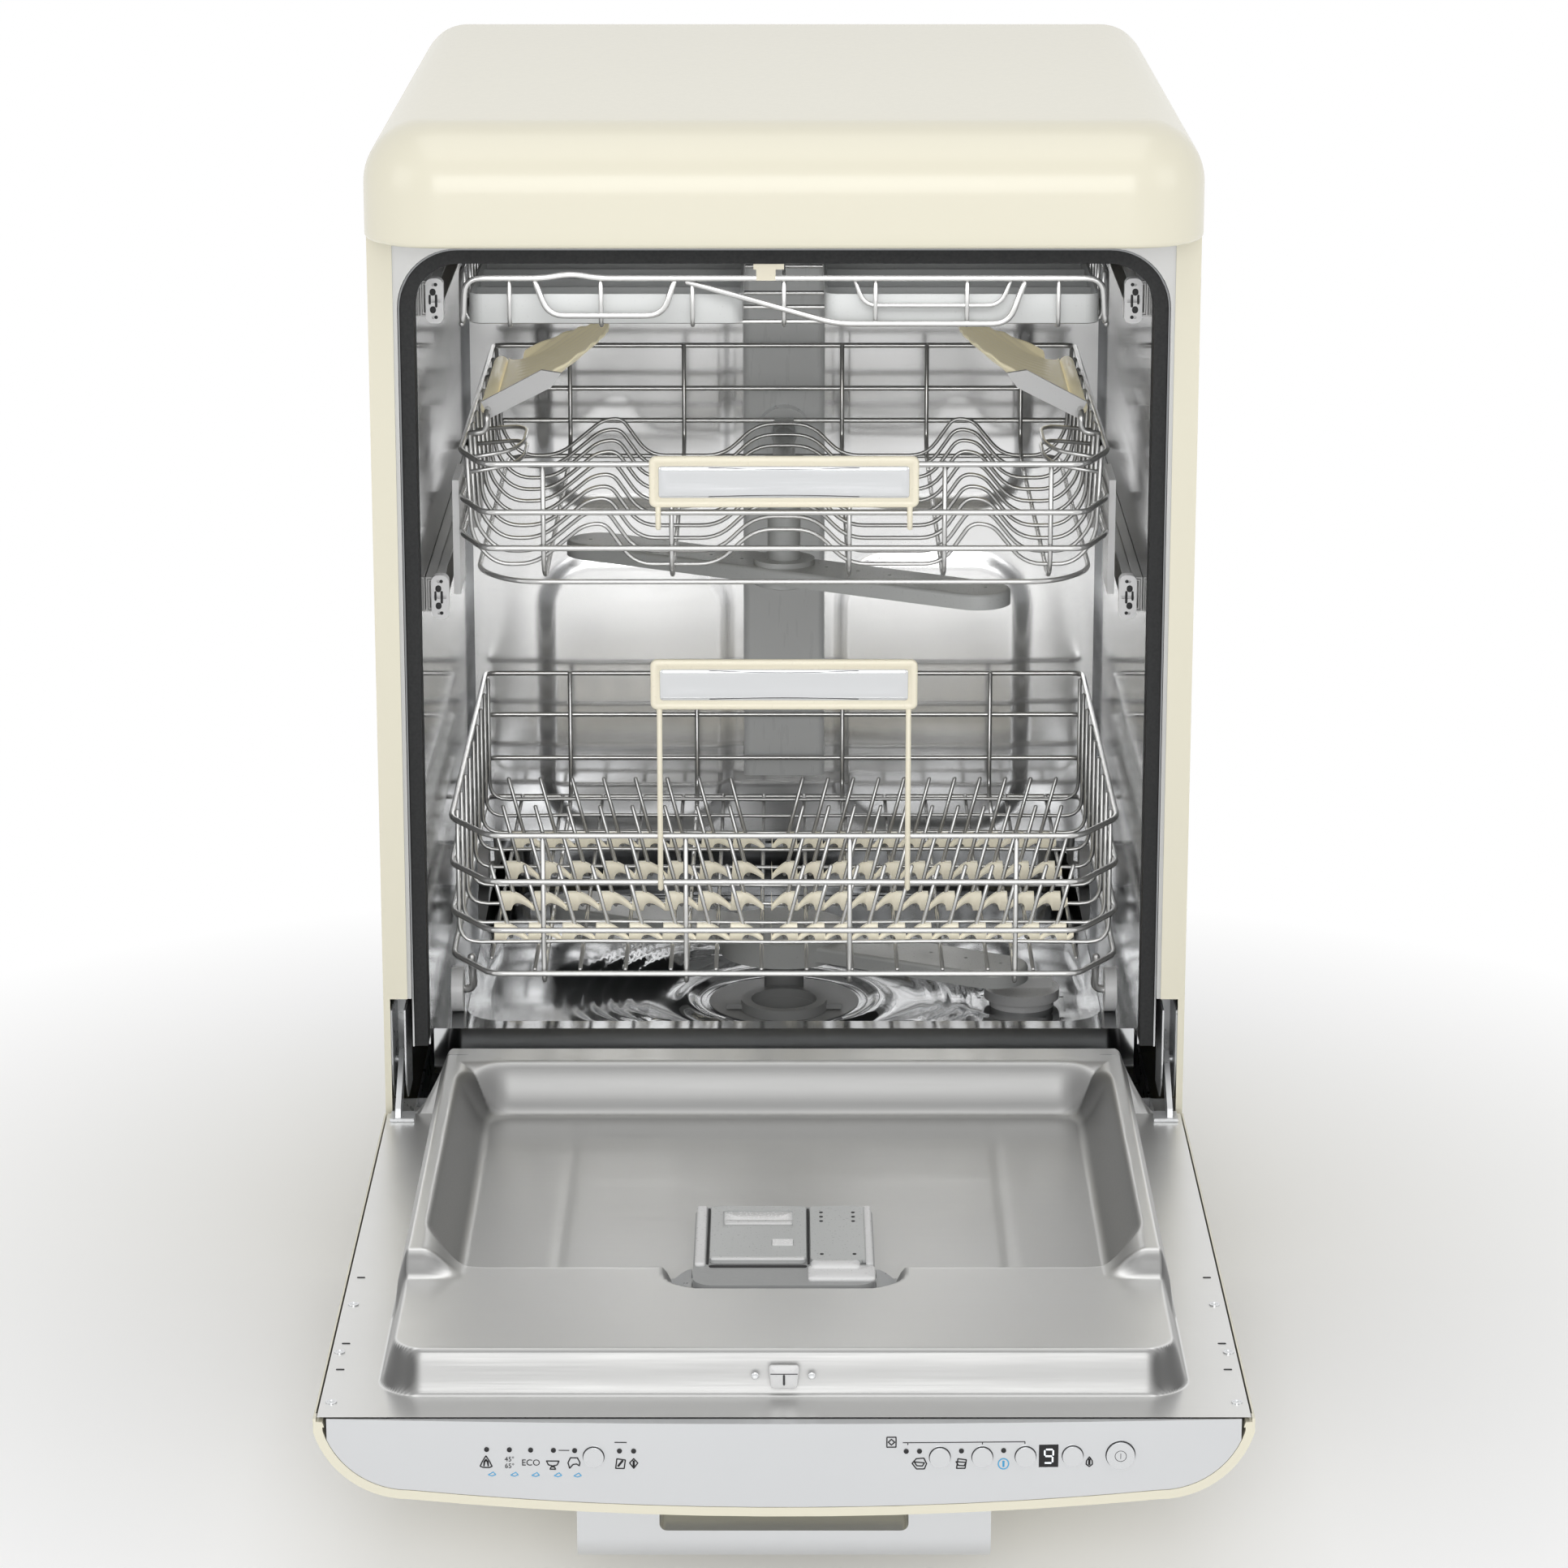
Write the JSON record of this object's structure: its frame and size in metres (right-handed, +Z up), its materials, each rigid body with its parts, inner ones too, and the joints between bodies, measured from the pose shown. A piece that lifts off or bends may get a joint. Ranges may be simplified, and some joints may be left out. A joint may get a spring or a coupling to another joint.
{
  "type": "dishwasher",
  "caption": "Retro free-standing dishwasher with a domed top, a drop-down door shown open, slide-out racks, spray arms and a hidden control strip.",
  "frame": {"origin": "floor level, midway between the cabinet's back and the open door's end, on the middle plane; the cabinet's front edge is at Y = 0", "axes": "+Z up, +X to the right of someone facing the front, +Y to the back"},
  "size_m": [0.6, 1.2, 0.885],
  "materials": {
    "cream_enamel": "gloss enamel",
    "stainless": "bright annealed",
    "galvanised": "dull zinc",
    "fascia_metal": "satin",
    "chrome": "satin chrome",
    "wire_coating": "nylon coated wire",
    "gasket_rubber": "matt",
    "grey_plastic": "matt",
    "light_grey_plastic": "matt",
    "dark_plastic": "matt",
    "cream_plastic": "satin",
    "white_plastic": "gloss",
    "black_display": "gloss",
    "circuit_board": "matt"
  },
  "bodies": {
    "cabinet": {"top_cover": "cream_enamel", "side_panel_left": "cream_enamel", "side_panel_right": "cream_enamel", "back_panel": "galvanised", "base_tray": "galvanised", "plinth": "cream_enamel", "levelling_feet": "dark_plastic", "tub": "stainless", "front_frame": "stainless", "door_gasket": "gasket_rubber", "water_duct": "grey_plastic", "wall_rails": "stainless", "sump": "grey_plastic", "softener": "white_plastic", "circulation_pump": "dark_plastic", "drain_pump": "dark_plastic", "rear_connections": "dark_plastic", "hinge_brackets": "galvanised", "latch_catch": "cream_plastic"},
    "door": {"door_outer_panel": "cream_enamel", "door_frame": "galvanised", "door_liner": "stainless", "door_hardware": "chrome", "control_fascia": "fascia_metal", "display_window": "black_display", "control_board": "circuit_board", "handle": "chrome", "hinge_arms": "galvanised", "dispenser_body": "grey_plastic"},
    "detergent_lid": {"detergent_lid": "grey_plastic"},
    "lid_button": {"lid_button": "white_plastic"},
    "rinse_aid_lid": {"rinse_aid_lid": "grey_plastic"},
    "program_button": {"program_button": "chrome"},
    "option_button_1": {"option_button_1": "chrome"},
    "option_button_2": {"option_button_2": "chrome"},
    "option_button_3": {"option_button_3": "chrome"},
    "start_button": {"start_button": "chrome"},
    "power_button": {"power_button": "chrome"},
    "lower_basket": {"lower_basket_wires": "wire_coating", "lower_basket_handle": "cream_plastic", "tine_strips": "cream_plastic"},
    "front_wheels": {"front_wheels": "light_grey_plastic"},
    "rear_wheels": {"rear_wheels": "light_grey_plastic"},
    "upper_runners": {"upper_runners": "stainless", "upper_rail_caps": "light_grey_plastic"},
    "upper_basket": {"upper_basket_wires": "wire_coating", "upper_basket_handle": "cream_plastic", "height_adjusters": "light_grey_plastic", "spray_pipe": "grey_plastic"},
    "cup_flap_left": {"cup_flap_left": "cream_plastic"},
    "cup_flap_right": {"cup_flap_right": "cream_plastic"},
    "upper_spray_arm": {"upper_spray_arm": "grey_plastic"},
    "tray_runners": {"tray_runners": "stainless", "tray_rail_caps": "light_grey_plastic"},
    "top_tray": {"top_tray_frame": "wire_coating", "top_tray_inserts": "grey_plastic"},
    "top_spray_arm": {"top_spray_arm": "grey_plastic"},
    "lower_spray_arm": {"lower_spray_arm": "grey_plastic"},
    "filter_cylinder": {"filter_cylinder": "grey_plastic"},
    "salt_cap": {"salt_cap": "grey_plastic"}
  },
  "joints": [
    {"name": "door_hinge", "type": "hinge", "parent": "cabinet", "child": "door", "pos_m": [0, 0.03, 0.169], "axis": [1, 0, 0], "range_deg": [-90, 0]},
    {"name": "lower_basket_slide", "type": "slide", "parent": "cabinet", "child": "lower_basket", "axis": [0, -1, 0], "range_m": [0, 0.48]},
    {"name": "front_wheels_roll", "type": "hinge", "parent": "lower_basket", "child": "front_wheels", "pos_m": [0, 0.102, 0.2013], "axis": [1, 0, 0], "range_deg": [-5, 1625]},
    {"name": "rear_wheels_roll", "type": "hinge", "parent": "lower_basket", "child": "rear_wheels", "pos_m": [0, 0.44, 0.2013], "axis": [1, 0, 0], "range_deg": [-5, 1625]},
    {"name": "upper_basket_slide", "type": "slide", "parent": "cabinet", "child": "upper_basket", "axis": [0, -1, 0], "range_m": [0, 0.48]},
    {"name": "upper_runner_slide", "type": "slide", "parent": "cabinet", "child": "upper_runners", "axis": [0, -1, 0], "range_m": [0, 0.24]},
    {"name": "top_tray_slide", "type": "slide", "parent": "cabinet", "child": "top_tray", "axis": [0, -1, 0], "range_m": [0, 0.4]},
    {"name": "tray_runner_slide", "type": "slide", "parent": "cabinet", "child": "tray_runners", "axis": [0, -1, 0], "range_m": [0, 0.2]},
    {"name": "cup_flap_left_fold", "type": "hinge", "parent": "upper_basket", "child": "cup_flap_left", "pos_m": [-0.224, 0.263, 0.641], "axis": [0, -1, 0], "range_deg": [-28, 28]},
    {"name": "cup_flap_right_fold", "type": "hinge", "parent": "upper_basket", "child": "cup_flap_right", "pos_m": [0.224, 0.263, 0.641], "axis": [0, 1, 0], "range_deg": [-28, 28]},
    {"name": "upper_spray_turn", "type": "hinge", "parent": "upper_basket", "child": "upper_spray_arm", "pos_m": [0, 0.262, 0.488], "axis": [0, 0, 1], "continuous": true},
    {"name": "top_spray_turn", "type": "hinge", "parent": "cabinet", "child": "top_spray_arm", "pos_m": [0, 0.262, 0.75], "axis": [0, 0, 1], "continuous": true},
    {"name": "lower_spray_turn", "type": "hinge", "parent": "cabinet", "child": "lower_spray_arm", "pos_m": [0, 0.296, 0.176], "axis": [0, 0, 1], "continuous": true},
    {"name": "filter_twist", "type": "hinge", "parent": "cabinet", "child": "filter_cylinder", "pos_m": [0, 0.24, 0.14], "axis": [0, 0, 1], "range_deg": [0, 30]},
    {"name": "salt_cap_twist", "type": "hinge", "parent": "cabinet", "child": "salt_cap", "pos_m": [0.19, 0.255, 0.146], "axis": [0, 0, 1], "range_deg": [0, 90]},
    {"name": "detergent_lid_slide", "type": "slide", "parent": "door", "child": "detergent_lid", "axis": [-1, 0, 0], "range_m": [0, 0.055]},
    {"name": "lid_button_press", "type": "slide", "parent": "detergent_lid", "child": "lid_button", "axis": [0, 0, -1], "range_m": [0, 0.0007], "stiffness_N_per_m": 200},
    {"name": "rinse_aid_lid_lift", "type": "hinge", "parent": "door", "child": "rinse_aid_lid", "pos_m": [0.054, -0.3425, 0.1685], "axis": [0, 1, 0], "range_deg": [0, 95]},
    {"name": "program_button_press", "type": "slide", "parent": "door", "child": "program_button", "axis": [0, 1, 0], "range_m": [0, 0.0012], "stiffness_N_per_m": 300},
    {"name": "option_button_1_press", "type": "slide", "parent": "door", "child": "option_button_1", "axis": [0, 1, 0], "range_m": [0, 0.0012], "stiffness_N_per_m": 300},
    {"name": "option_button_2_press", "type": "slide", "parent": "door", "child": "option_button_2", "axis": [0, 1, 0], "range_m": [0, 0.0012], "stiffness_N_per_m": 300},
    {"name": "option_button_3_press", "type": "slide", "parent": "door", "child": "option_button_3", "axis": [0, 1, 0], "range_m": [0, 0.0012], "stiffness_N_per_m": 300},
    {"name": "start_button_press", "type": "slide", "parent": "door", "child": "start_button", "axis": [0, 1, 0], "range_m": [0, 0.0012], "stiffness_N_per_m": 300},
    {"name": "power_button_press", "type": "slide", "parent": "door", "child": "power_button", "axis": [0, 1, 0], "range_m": [0, 0.0012], "stiffness_N_per_m": 300}
  ],
  "couplings": [
    {"joint": "front_wheels_roll", "follows": "lower_basket_slide", "rad_per_m": 58.824},
    {"joint": "rear_wheels_roll", "follows": "lower_basket_slide", "rad_per_m": 58.824},
    {"joint": "upper_runner_slide", "follows": "upper_basket_slide", "ratio": 0.5},
    {"joint": "tray_runner_slide", "follows": "top_tray_slide", "ratio": 0.5}
  ]
}
